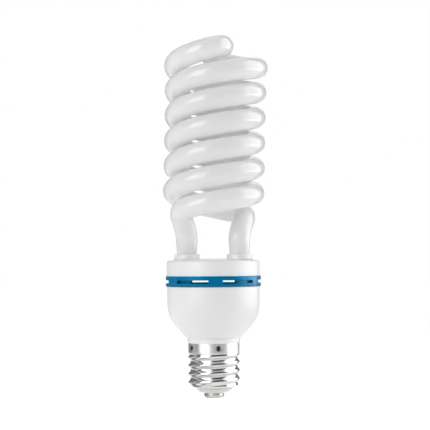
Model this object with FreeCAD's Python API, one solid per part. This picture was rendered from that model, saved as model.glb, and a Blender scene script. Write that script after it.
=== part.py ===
import FreeCAD, Part
import math
import os
from FreeCAD import Vector

# Large spiral energy saving bulb on a 40 mm screw cap.
# Millimetres, +Z from the centre contact up to the glass, origin under the centre contact.

# Screw cap, standard 40 mm size
thread_pitch = 6.35
thread_major_radius = 19.7
thread_minor_radius = 17.9
thread_crest_height = 20.5
rim_radius = 19.5
cap_sheet = 0.4
cap_bottom = 7.9
cap_corner_height = 3.0
cap_lip_radius = 12.9
rim_bottom = 34.4
cap_top = 41.8
punch_count = 5
punch_radius = 2.2
punch_depth = 0.8
punch_height = 38.5
punch_turn = 10.6

# Centre contact and insulator
contact_radius = 7.5
contact_height = 3.6
contact_sheet = 0.9
contact_edge_round = 1.6
contact_hole_radius = 1.6
insulator_top = 11.6
insulator_bore = 1.0

# Housing
wall = 1.8
neck_radius = 20.2
neck_top = 46.1
skirt_radius = 21.4
spigot_length = 5.0
spigot_clearance = 0.1
bowl_radius = 35.6
bowl_slope = 41.0
bowl_round = 24.5
bowl_waist = 35.2
bowl_top = 84.75
ring_proud = 0.8
ring_top = 92.75
ring_lap = 2.4
lap_clearance = 0.15
slot_count = 6
slot_span = 45.0
slot_turn = 1.5
slot_bottom = 86.6
slot_height = 3.1
guard_half_gap = 16.6
cover_radius = 35.7
cover_edge = 104.45
cover_crown = 105.85
cover_round = 1.8
collar_radius = 9.7
collar_top = 109.45
collar_bottom = 97.65
collar_foot = 0.9

# Glass tube
leg_spacing = 40.3
leg_radius = 7.5
tube_radius = 8.28
tube_foot = 97.25
leg_top = 119.75
cement_gap = 0.4
spiral_radius = 30.8
spiral_flare = 1.1
flare_start = 223.65
flare_height = 25.0
spiral_pitch = 38.97
spiral_base = 137.4
spiral_start = 228.4
spiral_end = 1304.2
spiral_spans = 24
settle = 0.8
settle_start = 1130.0
settle_turn = 180.0
spiral_lean_right = 1.5
spiral_lean_back = 1.94
lean_pivot = 113.65
spiral_shift = -0.25
leg_pull = 14.5
spiral_pull = 12.2
bend_spans = 3
crossing_rise = 10.24
crossing_heading = 120.9
crossing_pull = 25.0
crossing_reach = 28.0
crossing_spans = 4

# Ballast
board_thickness = 1.6
board_top = 84.25
board_radius = 32.0
rib_count = 4
rib_width = 2.4
rib_reach = 4.2
rib_length = 14.0
pin_radius = 0.35
pin_clearance = 0.1
pin_stand = 0.8
hang_gap = 0.1
post_half = 0.5
post_height = 4.6
lead_radius = 0.3
lead_spread = 3.0
lead_turns = 3
lead_pitch = 0.7
lead_bend = 1.2
cable_radius = 0.6
cable_bend = 5.0
cable_x = 11.3
cable_y = 9.4

# Ballast parts, with their places across the board
can_y = -6.0
can_radius = 9.0
can_length = 36.0
can_pin_spread = 3.75
choke_y = 17.0
choke_width = 26.0
choke_depth = 11.0
choke_plate = 4.0
choke_leg = 7.0
choke_side = 3.5
choke_window = 7.0
bobbin_wall = 0.8
bobbin_flange = 0.9
bobbin_reach = 4.6
bobbin_fit = 0.15
winding_short = 0.8
drive_gap = 0.9
drive_y = 3.0
drive_outer = 4.6
drive_inner = 2.4
drive_height = 4.0
drive_wire = 0.45
drive_span = 70.0
transistor_x = 22.4
transistor_y = 1.0
transistor_width = 10.0
transistor_depth = 4.2
transistor_body = 9.0
transistor_tab = 15.5
transistor_sheet = 1.3
transistor_pitch = 2.54
film_x = 11.5
film_y = -21.0
film_width = 17.0
film_depth = 6.5
film_height = 13.0
line_x = -19.5
line_y = 16.0
line_width = 10.0
line_depth = 6.0
line_height = 11.0
drum_x = 20.5
drum_y = 15.5
drum_radius = 5.0
drum_core = 2.4
drum_height = 11.0
drum_flange = 1.4
fuse_y = -27.6
fuse_radius = 1.6
fuse_length = 6.5
diode_x = 27.6
diode_y = 5.2
diode_radius = 1.35
diode_length = 5.0
resistor_x = 15.5
resistor_y = -12.0
resistor_radius = 1.2
resistor_length = 4.6
diac_x = -13.5
diac_y = -5.0
diac_radius = 1.0
diac_length = 3.8
pill_x = -14.0
pill_y = 3.0
pill_radius = 3.8
pill_thickness = 3.0
pill_pitch = 4.4

Z = Vector(0, 0, 1)
ORIGIN = Vector(0, 0, 0)
board_bottom = board_top - board_thickness


def outline(corners):
    """Closed wire in the XZ plane through (radius, height) corners, a third number rounds one."""
    points = [Vector(corner[0], 0, corner[1]) for corner in corners]
    rounds = [corner[2] if len(corner) > 2 else 0 for corner in corners]
    edges = []
    starts = []
    ends = []
    for index, point in enumerate(points):
        before = (points[index - 1] - point).normalize()
        after = (points[(index + 1) % len(points)] - point).normalize()
        if not rounds[index]:
            starts.append(point)
            ends.append(point)
            continue
        half = before.getAngle(after) / 2
        cut = rounds[index] / math.tan(half)
        starts.append(point + before * cut)
        ends.append(point + after * cut)
        middle = (before + after).normalize()
        bulge = rounds[index] / math.sin(half) - rounds[index]
        edges.append(Part.Arc(starts[-1], point + middle * bulge, ends[-1]).toShape())
    for index, end in enumerate(ends):
        start = starts[(index + 1) % len(starts)]
        if end.distanceToPoint(start) > 1e-6:
            edges.append(Part.LineSegment(end, start).toShape())
    return Part.Wire(Part.__sortEdges__(edges))


def turned(corners):
    """Solid of revolution about Z."""
    return Part.Face(outline(corners)).revolve(ORIGIN, Z, 360)


def rod(x, y, bottom, top, radius):
    return Part.makeCylinder(radius, top - bottom, Vector(x, y, bottom))


def block(x, y, bottom, top, width, depth):
    return Part.makeBox(width, depth, top - bottom, Vector(x - width / 2, y - depth / 2, bottom))


def bar(start, end, radius):
    """Round bar between two points."""
    along = Vector(*end) - Vector(*start)
    return Part.makeCylinder(radius, along.Length, Vector(*start), along)


def spun(shape, angle):
    copy = shape.copy()
    copy.rotate(ORIGIN, Z, angle)
    return copy


def moved(shape, x, y, z=0):
    copy = shape.copy()
    copy.translate(Vector(x, y, z))
    return copy


def joined(shapes):
    return shapes[0].multiFuse(shapes[1:])


# Path of the glass tube

def leaned(point, direction):
    """Turn a station of the upright spiral to the lean of the glass on its legs."""
    lean = FreeCAD.Rotation(Vector(1, 0, 0), -spiral_lean_back)
    lean = lean.multiply(FreeCAD.Rotation(Vector(0, 1, 0), spiral_lean_right))
    pivot = Vector(0, 0, lean_pivot)
    return lean.multVec(point - pivot) + pivot + Vector(spiral_shift, 0, 0), lean.multVec(direction)


def spiral_point(degrees):
    angle = math.radians(degrees)
    height = spiral_base + spiral_pitch * (degrees - 180) / 360
    flare = min(max((height - flare_start) / flare_height, 0), 1)
    radius = spiral_radius + spiral_flare * flare ** 2
    height -= settle * (max(degrees - settle_start, 0) / settle_turn) ** 2
    return Vector(radius * math.cos(angle), radius * math.sin(angle), height)


def spiral_station(degrees):
    step = 0.01
    ahead = spiral_point(degrees + step) - spiral_point(degrees - step)
    return spiral_point(degrees), ahead.normalize()


def blend(start, heading, end, arrival, spans):
    """Stations on one cubic curve, its two pull vectors given at the ends."""
    points = [start, start + heading, end - arrival, end]
    stations = []
    for index in range(1, spans):
        t = index / spans
        s = 1 - t
        place = points[0] * s ** 3 + points[1] * 3 * s * s * t + points[2] * 3 * s * t * t + points[3] * t ** 3
        slope = (points[1] - points[0]) * s * s + (points[2] - points[1]) * 2 * s * t
        slope = slope + (points[3] - points[2]) * t * t
        stations.append((place, slope.normalize()))
    return stations


def arm_stations(side):
    """Stations of one arm from its leg to the crossing on top, side -1 for the left leg."""
    turn = 0 if side < 0 else 180

    def placed(station):
        point, direction = station
        spin = FreeCAD.Rotation(Z, turn)
        return leaned(spin.multVec(point), spin.multVec(direction))

    leg_end = (Vector(side * leg_spacing / 2, 0, leg_top), Z)
    step = (spiral_end - spiral_start) / spiral_spans
    spiral = [spiral_station(spiral_start + step * index) for index in range(spiral_spans + 1)]
    last_point, last_direction = spiral[-1]
    heading = math.radians(crossing_heading)
    crossing = (Vector(0, 0, last_point.z + crossing_rise), Vector(math.cos(heading), math.sin(heading), 0))
    over = blend(last_point, last_direction * crossing_pull, crossing[0], crossing[1] * crossing_reach,
                 crossing_spans)
    upper = [placed(station) for station in spiral + over + [crossing]]
    bend = blend(leg_end[0], leg_end[1] * leg_pull, upper[0][0], upper[0][1] * spiral_pull, bend_spans)
    return [leg_end] + bend + upper


def tube_stations():
    up = arm_stations(-1)
    down = [(point, direction * -1) for point, direction in reversed(arm_stations(1))]
    return up + down[1:]


def arc_step(point, direction, end):
    """Centre, axis and angle of the arc that leaves point along direction and reaches end."""
    chord = end - point
    normal = direction.cross(chord)
    angle = 2 * math.atan2(normal.Length, direction.dot(chord))
    radius = chord.Length / (2 * math.sin(angle / 2))
    axis = normal.normalize()
    return point + axis.cross(direction) * radius, axis, math.degrees(angle)


def arc_pair(start, end):
    """Two tangent arcs that join one station to the next."""
    point, direction = start
    goal, arrival = end
    gap = goal - point
    both = direction + arrival
    spread = 2 * (1 - direction.dot(arrival))
    reach = gap.dot(both)
    pull = (math.sqrt(reach ** 2 + spread * gap.dot(gap)) - reach) / spread
    middle = (point + direction * pull + goal - arrival * pull) * 0.5
    first = arc_step(point, direction, middle)
    centre, axis, angle = arc_step(goal, arrival * -1, middle)
    return [first, (centre, axis * -1, angle)]


def swept(section, steps):
    """Solids that a flat section sweeps along tangent arcs, each arc from where the last one ended."""
    solids = []
    for centre, axis, angle in steps:
        solids.append(section.revolve(centre, axis, angle))
        section = section.copy()
        section.rotate(centre, axis, angle)
    return solids


def disc(centre, direction, radius):
    return Part.Face(Part.Wire(Part.Circle(centre, direction, radius).toShape()))


def leg(side):
    """Sealed foot, straight leg and the stretch above the collar that widens to the full tube."""
    x = side * leg_spacing / 2
    return moved(turned([
        (0, tube_foot), (leg_radius, tube_foot, 3), (leg_radius, collar_top),
        (tube_radius, leg_top), (0, leg_top)]), x, 0)


def discharge_tube():
    stations = tube_stations()
    steps = []
    for start, end in zip(stations, stations[1:]):
        steps += arc_pair(start, end)
    section = disc(stations[0][0], stations[0][1], tube_radius)
    return joined([leg(-1)] + swept(section, steps) + [leg(1)])


def tube_length():
    """Length of the bent part of the tube along its centre line."""
    length = 0
    stations = tube_stations()
    for start, end in zip(stations, stations[1:]):
        point = start[0]
        for centre, axis, angle in arc_pair(start, end):
            length += math.radians(angle) * centre.distanceToPoint(point)
            point = FreeCAD.Rotation(axis, angle).multVec(point - centre) + centre
    return length


# Housing pieces

def cone_height(radius, offset=0):
    """Height at which the bowl's sloping side, moved inwards by offset, has this radius."""
    slope = math.radians(bowl_slope)
    return neck_top + (radius + offset / math.cos(slope) - skirt_radius) / math.tan(slope)


def lower_housing():
    inside = bowl_radius - wall
    narrow = bowl_waist - wall
    spigot = rim_radius - cap_sheet - spigot_clearance
    bore = spigot - wall
    shape = turned([
        (bore, cap_top - spigot_length), (spigot, cap_top - spigot_length), (spigot, cap_top),
        (neck_radius, cap_top, 0.3), (neck_radius, neck_top, 0.2), (skirt_radius, neck_top, 0.4),
        (bowl_waist, cone_height(bowl_waist), bowl_round), (bowl_radius, bowl_top, 0.3),
        (inside, bowl_top), (inside, bowl_top - ring_lap - 1),
        (narrow, cone_height(narrow, wall), bowl_round - wall), (bore, cone_height(bore, wall))])
    foot = board_bottom - rib_length
    rib = Part.Face(outline([
        (inside + wall / 2 - rib_reach - wall / 2, board_bottom), (inside + wall / 2, board_bottom),
        (inside + wall / 2, foot), (inside - rib_reach / 2, foot), (inside - rib_reach, foot + rib_reach)]))
    rib = moved(rib.extrude(Vector(0, rib_width, 0)), 0, -rib_width / 2)
    shape = joined([shape] + [spun(rib, 360 / rib_count * index) for index in range(rib_count)])
    for index in range(punch_count):
        shape = shape.cut(punch_dent(index, cap_sheet + spigot_clearance / 2))
    return shape.cut(wire_notch())


def punch_dent(index, deeper):
    """Cone that a punch presses into the cap's rim, moved inwards for the far side of the sheet."""
    slope = punch_radius - punch_depth
    start = rim_radius + 0.2 - deeper
    cone = Part.makeCone(punch_radius + 0.2 + deeper / 2, slope, punch_depth + 0.2,
                         Vector(0, -start, punch_height), Vector(0, 1, 0))
    return spun(cone, punch_turn + 360 / punch_count * index)


def vent_ring():
    outside = bowl_radius + ring_proud
    lap_outside = bowl_radius - wall - lap_clearance
    lap_inside = board_radius + 2 * lap_clearance
    ring = turned([
        (lap_inside, bowl_top - ring_lap + 0.4), (lap_outside, bowl_top - ring_lap + 0.4),
        (lap_outside, bowl_top), (outside, bowl_top, 0.5), (outside, ring_top, 0.5),
        (lap_outside, ring_top), (lap_outside, ring_top + ring_lap), (lap_inside, ring_top + ring_lap)])
    slot = Part.Face(outline([
        (lap_outside, slot_bottom), (outside + 1, slot_bottom),
        (outside + 1, slot_bottom + slot_height), (lap_outside, slot_bottom + slot_height)]))
    window = Part.Face(outline([
        (lap_inside - 1, slot_bottom), (lap_outside + 0.1, slot_bottom),
        (lap_outside + 0.1, slot_bottom + slot_height), (lap_inside - 1, slot_bottom + slot_height)]))
    guard = block(0, 0, bowl_top, ring_top, 2 * guard_half_gap, 4 * outside)
    for index in range(slot_count):
        first = slot_turn - slot_span / 2 + 360 / slot_count * index
        ring = ring.cut(spun(slot.revolve(ORIGIN, Z, slot_span), first))
        ring = ring.cut(spun(window.revolve(ORIGIN, Z, slot_span), first).common(guard))
    return ring


def collar_bore():
    return leg_radius + cement_gap


def domed(radius, bottom, edge, crown):
    """Round block with a shallow domed top that is level at its middle."""
    rise = crown - edge
    bend = (radius ** 2 + rise ** 2) / (2 * rise)
    half_way = crown - bend + math.sqrt(bend ** 2 - radius ** 2 / 4)
    corners = [Vector(0, 0, crown), Vector(0, 0, bottom), Vector(radius, 0, bottom), Vector(radius, 0, edge)]
    edges = [Part.LineSegment(a, b).toShape() for a, b in zip(corners, corners[1:])]
    edges.append(Part.Arc(corners[-1], Vector(radius / 2, 0, half_way), corners[0]).toShape())
    return Part.Face(Part.Wire(edges)).revolve(ORIGIN, Z, 360)


def rounded_rim(body, radius, edge_height, size):
    """Round the edge where an upright side meets a domed top."""
    rims = [edge for edge in body.Edges
            if edge.Closed and abs(edge.BoundBox.ZMin - edge_height) < 0.01 and edge.BoundBox.XMax > radius - 0.1]
    return body.makeFillet(size, rims).Solids[0]


def upper_cover():
    inside = cover_radius - wall
    body = domed(cover_radius, ring_top, cover_edge, cover_crown)
    body = rounded_rim(body, cover_radius, cover_edge, cover_round)
    hollow = domed(inside, ring_top - 1, cover_edge - wall, cover_crown - wall)
    body = body.cut(hollow)
    collar = turned([
        (0, collar_bottom), (collar_radius, collar_bottom), (collar_radius, collar_top, 0.8),
        (0, collar_top)])
    for side in (-1, 1):
        body = body.fuse(moved(collar, side * leg_spacing / 2, 0))
    feet = [edge for edge in body.Edges
            if edge.BoundBox.ZMin > cover_edge and edge.BoundBox.ZMax < cover_crown + 0.1]
    body = body.makeFillet(collar_foot, feet).Solids[0]
    for side in (-1, 1):
        body = body.cut(rod(side * leg_spacing / 2, 0, collar_bottom - 1, collar_top + 1, collar_bore()))
    return body


def cement(side):
    x = side * leg_spacing / 2
    bottom = collar_bottom + 3
    return moved(rod(0, 0, bottom, collar_top - 0.8, collar_bore()).cut(
        rod(0, 0, bottom, collar_top - 0.8, leg_radius)), x, 0)


# Screw cap pieces

def smooth(value, low, high):
    t = min(max((value - low) / (high - low), 0), 1)
    return t * t * (3 - 2 * t)


def thread_rows(offset):
    """Radius, height and wave of each row of the threaded sheet, moved inwards by offset."""
    middle = (thread_major_radius + thread_minor_radius) / 2 - offset
    corner = cap_bottom + cap_corner_height
    start = cap_lip_radius + 0.8
    depth = (thread_major_radius - thread_minor_radius) / 2
    rows = [(cap_lip_radius - 1, cap_bottom + offset, 0), (cap_lip_radius - 0.1, cap_bottom + offset, 0)]
    corner_rows = 6
    for index in range(corner_rows):
        a = math.pi / 2 * index / corner_rows
        radius = start + (middle - start) * math.sin(a)
        height = corner - (cap_corner_height - offset) * math.cos(a)
        rows.append((radius, height, depth * smooth(height, cap_bottom + 1, corner)))
    step = thread_pitch / 10
    count = int((rim_bottom + 0.6 - corner) / step)
    rim = rim_radius - 0.25 - offset
    for index in range(count + 1):
        height = corner + (rim_bottom + 0.6 - corner) * index / count
        fade = smooth(height, rim_bottom - 2.2, rim_bottom + 0.2)
        rows.append((middle + (rim - middle) * fade, height, depth * (1 - fade)))
    return rows


def threaded_body(offset):
    """Solid inside one side of the threaded sheet."""
    around = 48
    grid = []
    for radius, height, wave in thread_rows(offset):
        row = []
        for index in range(around + 1):
            angle = 2 * math.pi * index / around
            reach = radius + wave * math.cos(2 * math.pi * (height - thread_crest_height) / thread_pitch - angle)
            row.append(Vector(reach * math.cos(angle), reach * math.sin(angle), height))
        grid.append(row)
    surface = Part.BSplineSurface()
    surface.interpolate(grid)
    side = surface.toShape()
    ends = []
    for edge in side.Edges:
        if edge.BoundBox.ZLength < 1e-6:
            ends.append(Part.Face(Part.Wire(edge)))
    shell = Part.Shell([side] + ends)
    shell.sewShape()
    solid = Part.Solid(shell)
    if solid.Volume < 0:
        solid.reverse()
    return solid


def screw_shell():
    outer = threaded_body(0).fuse(rod(0, 0, rim_bottom, cap_top, rim_radius))
    inner = threaded_body(cap_sheet).fuse(rod(0, 0, rim_bottom + 0.1, cap_top + 1, rim_radius - cap_sheet))
    dents = [punch_dent(index, cap_sheet) for index in range(punch_count)]
    ring = rod(0, 0, rim_bottom, cap_top, rim_radius - cap_sheet / 2)
    for dent in dents:
        inner = inner.cut(dent.common(ring))
    shell = outer.cut(inner).cut(rod(0, 0, 0, cap_bottom + 2, cap_lip_radius))
    for index in range(punch_count):
        shell = shell.cut(punch_dent(index, 0))
    return shell


def base_insulator():
    seat = contact_height + 0.05
    boss = contact_radius - contact_sheet - 0.1
    lip = cap_bottom - 0.1
    neck = cap_lip_radius - 0.2
    above_lip = cap_bottom + cap_sheet + 0.7
    body = turned([
        (insulator_bore, contact_sheet + 0.05), (boss, contact_sheet + 0.05, 0.7), (boss, seat),
        (contact_radius + 0.5, seat, 0.3), (cap_lip_radius + 0.2, seat + 1.7, 4), (cap_lip_radius + 0.8, lip),
        (neck, lip), (neck, above_lip), (neck + 1.2, above_lip + 0.4), (neck + 1.2, insulator_top),
        (insulator_bore, insulator_top)])
    return body


def centre_contact():
    inside = contact_radius - contact_sheet
    return turned([
        (contact_hole_radius, 0), (contact_radius, 0, contact_edge_round),
        (contact_radius, contact_height, 0.3), (inside, contact_height), (inside, contact_sheet, 0.6),
        (contact_hole_radius, contact_sheet)])


def contact_solder():
    flat = contact_hole_radius - 0.25
    return turned([
        (0, 0), (flat, 0), (contact_hole_radius, 0.25), (contact_hole_radius, contact_sheet), (0, contact_sheet)])


# Wires

def cable(points, radius, bend):
    """Round wire through the points, its corners bent to tangent arcs."""
    places = [Vector(*point) for point in points]
    solids = []
    start = places[0]
    for index in range(1, len(places)):
        corner = places[index]
        direction = (corner - start).normalize()
        if index == len(places) - 1:
            solids.append(Part.makeCylinder(radius, (corner - start).Length, start, direction))
            break
        onward = (places[index + 1] - corner).normalize()
        turn = direction.getAngle(onward)
        cut = bend * math.tan(turn / 2)
        begin = corner - direction * cut
        solids.append(Part.makeCylinder(radius, (begin - start).Length, start, direction))
        step = arc_step(begin, direction, corner + onward * cut)
        solids += swept(disc(begin, direction, radius), [step])
        start = corner + onward * cut
    return joined(solids)


def shell_lead():
    """Wire from the board down into the neck, hooked up between the spigot and the cap's rim."""
    inner = math.hypot(cable_x, cable_y)
    wall_side = rim_radius - cap_sheet - cable_radius
    hook = (wall_side - inner) / 2
    turn = math.degrees(math.atan2(cable_y, -cable_x))
    low = rim_bottom + 2 * cable_radius
    shape = cable([(inner, 0, board_top + pin_stand), (inner, 0, low), (wall_side, 0, low),
                   (wall_side, 0, cap_top - 1)], cable_radius, hook - 0.01)
    return spun(shape, turn)


def wire_notch():
    """Slot in the spigot for the hooked end of the cap's wire."""
    spigot = rim_radius - cap_sheet
    turn = math.degrees(math.atan2(cable_y, -cable_x))
    width = 2 * cable_radius + 0.6
    depth = wall + 2 * spigot_clearance
    low = cap_top - spigot_length - 0.5
    slot = Part.makeBox(depth, width, spigot_length, Vector(spigot - depth, -width / 2, low))
    return spun(slot, turn)


def contact_lead():
    return cable([(cable_x, cable_y, board_top + pin_stand), (cable_x, cable_y, insulator_top + 14),
                  (0, 0, insulator_top + 4), (0, 0, contact_sheet)], cable_radius, cable_bend)


def tube_lead():
    """Wire from a sealed tube end, wound down around its post, for a post at the middle."""
    loop = post_half * math.sqrt(2) + lead_radius + 0.05
    high = board_top + lead_radius + 0.6 + lead_turns * lead_pitch
    stations = [(Vector(loop, -lead_bend, high + lead_bend), Z * -1)]
    for index in range(4 * lead_turns + 1):
        angle = math.pi / 2 * index
        point = Vector(loop * math.cos(angle), loop * math.sin(angle), high - lead_pitch * index / 4)
        ahead = Vector(-loop * math.sin(angle), loop * math.cos(angle), -lead_pitch / (2 * math.pi))
        stations.append((point, ahead.normalize()))
    steps = []
    for start, end in zip(stations, stations[1:]):
        steps += arc_pair(start, end)
    section = disc(stations[0][0], stations[0][1], lead_radius)
    drop = rod(loop, -lead_bend, high + lead_bend, tube_foot, lead_radius)
    return joined([drop] + swept(section, steps))


def wrap_post(x, y):
    return block(x, y, board_bottom - 0.8, board_top + post_height, 2 * post_half, 2 * post_half)


# Ballast parts, all hung under the board

def pinned(shape, places, bottom=board_bottom):
    """Add straight pins that pass up through the board."""
    return joined([shape] + [rod(x, y, bottom - 0.5, board_top + pin_stand, pin_radius) for x, y in places])


def post_places():
    half = leg_spacing / 2
    return [(side * half, way * lead_spread) for side in (-1, 1) for way in (-1, 1)]


def ballast_board(parts):
    """Board with a hole round each pin that passes through it."""
    board = rod(0, 0, board_bottom, board_top, board_radius)
    for part in parts:
        for stub in part.common(board).Solids:
            box = stub.BoundBox
            radius = box.XLength / 2 + pin_clearance
            board = board.cut(rod(box.Center.x, box.Center.y, board_bottom - 1, board_top + 1, radius))
    for x, y in post_places():
        board = board.cut(wrap_post(x, y))
    return board


def bulk_capacitor():
    """Electrolytic can with a crimped groove near its base."""
    bottom = board_bottom - can_length
    groove = board_bottom - 3.9
    can = moved(turned([
        (0, bottom), (can_radius, bottom, 1.2), (can_radius, groove - 0.6, 0.4),
        (can_radius - 0.7, groove, 0.4), (can_radius, groove + 0.6, 0.4),
        (can_radius, board_bottom, 0.5), (0, board_bottom)]), 0, can_y)
    return pinned(can, [(-can_pin_spread, can_y), (can_pin_spread, can_y)])


def choke_core(upper):
    """One half of the core: a plate with a middle leg and two side legs."""
    middle = board_bottom - choke_plate - choke_window
    face = middle + 0.05
    shape = [
        block(0, choke_y, board_bottom - choke_plate, board_bottom, choke_width, choke_depth),
        block(0, choke_y, face, board_bottom, choke_leg, choke_leg)]
    for side in (-1, 1):
        x = side * (choke_width - choke_side) / 2
        shape.append(block(x, choke_y, face, board_bottom, choke_side, choke_depth))
    half = joined(shape).removeSplitter()
    return half if upper else half.mirror(Vector(0, 0, middle), Z)


def bobbin_levels():
    """Heights of the bobbin's lower and upper ends."""
    top = board_bottom - choke_plate - bobbin_fit
    return top - 2 * (choke_window - bobbin_fit), top


def choke_bobbin():
    inner = choke_leg / 2 + bobbin_fit
    outer = inner + bobbin_wall
    flange = outer + bobbin_reach
    bottom, top = bobbin_levels()
    shape = [block(0, choke_y, bottom, top, 2 * outer, 2 * outer)]
    for low in (bottom, top - bobbin_flange):
        shape.append(block(0, choke_y, low, low + bobbin_flange, 2 * flange, 2 * flange))
    places = [(dx * (flange - 1.2), choke_y + dy * (flange - 0.9)) for dx in (-1, 1) for dy in (-1, 1)]
    for x, y in places:
        shape.append(block(x, y, top - bobbin_flange, board_bottom, 1.8, 1.6))
    body = joined(shape).cut(block(0, choke_y, bottom - 1, top + 1, 2 * inner, 2 * inner))
    return pinned(body, places)


def choke_winding():
    inner = choke_leg / 2 + bobbin_fit + bobbin_wall
    outer = inner + bobbin_reach - winding_short
    bottom, top = bobbin_levels()
    low = bottom + bobbin_flange
    high = top - bobbin_flange
    coil = block(0, choke_y, low, high, 2 * outer, 2 * outer)
    upright = [edge for edge in coil.Edges if edge.BoundBox.ZLength > 1]
    coil = coil.makeFillet(2.5, upright)
    return coil.cut(block(0, choke_y, low, high, 2 * inner, 2 * inner))


def drive_x():
    """Place across the board that clears the posts by drive_gap."""
    return leg_spacing / 2 - post_half - drive_gap - drive_wire - drive_outer


def drive_ring_core():
    top = board_bottom - drive_wire - hang_gap
    return moved(turned([
        (drive_inner, top - drive_height, 0.4), (drive_outer, top - drive_height, 0.4),
        (drive_outer, top, 0.4), (drive_inner, top, 0.4)]), drive_x(), drive_y)


def drive_coil(index):
    """One of three windings on the drive ring."""
    top = board_bottom - hang_gap
    low = top - drive_height - 2 * drive_wire
    band = Part.Face(outline([
        (drive_inner - drive_wire, low, 0.6), (drive_outer + drive_wire, low, 0.6),
        (drive_outer + drive_wire, top, 0.6), (drive_inner - drive_wire, top, 0.6)]))
    coil = moved(spun(band.revolve(ORIGIN, Z, drive_span), 120 * index), drive_x(), drive_y)
    middle = math.radians(120 * index + drive_span / 2)
    reach = drive_outer + pin_radius + 0.05
    place = (drive_x() + reach * math.cos(middle), drive_y + reach * math.sin(middle))
    return pinned(coil.cut(drive_ring_core()), [place], top - 0.6)


def transistor(side):
    """Power transistor: moulded body on a metal tab with a hole."""
    x = side * transistor_x
    y = transistor_y
    top = board_bottom - 2.5
    tab_x = x + side * (transistor_depth - transistor_sheet) / 2
    hole = top - (transistor_body + transistor_tab) / 2
    shape = block(x, y, top - transistor_body, top, transistor_depth, transistor_width).fuse(
        block(tab_x, y, top - transistor_tab, top, transistor_sheet, transistor_width))
    shape = shape.cut(bar((x - 5, y, hole), (x + 5, y, hole), 1.8))
    return pinned(shape, [(x, y + transistor_pitch * index) for index in (-1, 0, 1)], top)


def box_capacitor(x, y, width, depth, height):
    """Film capacitor in a rounded case."""
    case = block(x, y, board_bottom - height, board_bottom, width, depth)
    case = case.makeFillet(0.8, [edge for edge in case.Edges if edge.BoundBox.ZMin < board_bottom - 0.1])
    return pinned(case, [(x - width / 2 + 1.8, y), (x + width / 2 - 1.8, y)])


def filter_choke_core():
    low = board_bottom - drum_height
    shape = moved(turned([
        (0, low), (drum_radius, low), (drum_radius, low + drum_flange), (drum_core, low + drum_flange),
        (drum_core, board_bottom - drum_flange), (drum_radius, board_bottom - drum_flange),
        (drum_radius, board_bottom), (0, board_bottom)]), drum_x, drum_y)
    spread = drum_radius - drum_flange
    return pinned(shape, [(drum_x - spread, drum_y), (drum_x + spread, drum_y)])


def filter_choke_winding():
    low = board_bottom - drum_height + drum_flange
    high = board_bottom - drum_flange
    return rod(drum_x, drum_y, low, high, drum_radius - 0.4).cut(rod(drum_x, drum_y, low, high, drum_core))


def axial(x, y, radius, length, along_x):
    """Round part lying under the board, its two wires bent up into the board."""
    height = board_bottom - hang_gap - radius
    reach = length / 2 + 1.6
    dx, dy = (1, 0) if along_x else (0, 1)
    body = bar((x - dx * length / 2, y - dy * length / 2, height),
               (x + dx * length / 2, y + dy * length / 2, height), radius)
    body = body.makeFillet(radius * 0.3, body.Edges)
    ends = [(x - dx * reach, y - dy * reach), (x + dx * reach, y + dy * reach)]
    wire = bar((*ends[0], height), (*ends[1], height), pin_radius)
    bends = [Part.makeSphere(pin_radius, Vector(*end, height)) for end in ends]
    return pinned(joined([body, wire] + bends), ends, height + 0.5)


def ptc_thermistor():
    middle = board_bottom - hang_gap - pill_radius
    pill = bar((pill_x - pill_thickness / 2, pill_y, middle), (pill_x + pill_thickness / 2, pill_y, middle),
               pill_radius)
    pill = pill.makeFillet(pill_thickness / 3, pill.Edges)
    return pinned(pill, [(pill_x, pill_y - pill_pitch / 2), (pill_x, pill_y + pill_pitch / 2)],
                  middle + pill_radius / 2)


def ballast():
    """Every part on the board, and the board drilled for their pins."""
    parts = {
        "bulk_capacitor": bulk_capacitor(),
        "choke_core_upper": choke_core(True),
        "choke_core_lower": choke_core(False),
        "choke_bobbin": choke_bobbin(),
        "choke_winding": choke_winding(),
        "drive_ring_core": drive_ring_core(),
        "transistor_left": transistor(-1),
        "transistor_right": transistor(1),
        "resonant_capacitor": box_capacitor(-film_x, film_y, film_width, film_depth, film_height),
        "coupling_capacitor": box_capacitor(film_x, film_y, film_width, film_depth, film_height),
        "line_capacitor": box_capacitor(line_x, line_y, line_width, line_depth, line_height),
        "filter_choke_core": filter_choke_core(),
        "filter_choke_winding": filter_choke_winding(),
        "fuse": axial(0, fuse_y, fuse_radius, fuse_length, True),
        "ptc_thermistor": ptc_thermistor(),
        "start_diac": axial(diac_x, diac_y, diac_radius, diac_length, False),
        "shell_lead": shell_lead(),
        "contact_lead": contact_lead(),
    }
    for index in range(3):
        parts["drive_coil_%d" % (index + 1)] = drive_coil(index)
    for index, (side, way) in enumerate([(-1, -1), (-1, 1), (1, -1), (1, 1)]):
        parts["rectifier_diode_%d" % (index + 1)] = axial(
            side * diode_x, way * diode_y, diode_radius, diode_length, False)
    for name, side in (("left", -1), ("right", 1)):
        parts["base_resistor_" + name] = axial(
            side * resistor_x, resistor_y, resistor_radius, resistor_length, True)
    parts["ballast_board"] = ballast_board(list(parts.values()))
    lead = tube_lead()
    for index, (x, y) in enumerate(post_places()):
        parts["wrap_post_%d" % (index + 1)] = wrap_post(x, y)
        parts["tube_lead_%d" % (index + 1)] = moved(lead, x, y)
    return parts


def main():
    parts = {
        "discharge_tube": discharge_tube(),
        "cement_left": cement(-1),
        "cement_right": cement(1),
        "upper_cover": upper_cover(),
        "vent_ring": vent_ring(),
        "lower_housing": lower_housing(),
        "screw_shell": screw_shell(),
        "base_insulator": base_insulator(),
        "centre_contact": centre_contact(),
        "contact_solder": contact_solder(),
    }
    parts.update(ballast())
    os.makedirs("parts", exist_ok=True)
    for name, shape in parts.items():
        shape.exportStep("parts/" + name + ".step")
    print("%d pieces, bent glass %.0f mm long" % (len(parts), tube_length()))


main()
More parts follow.
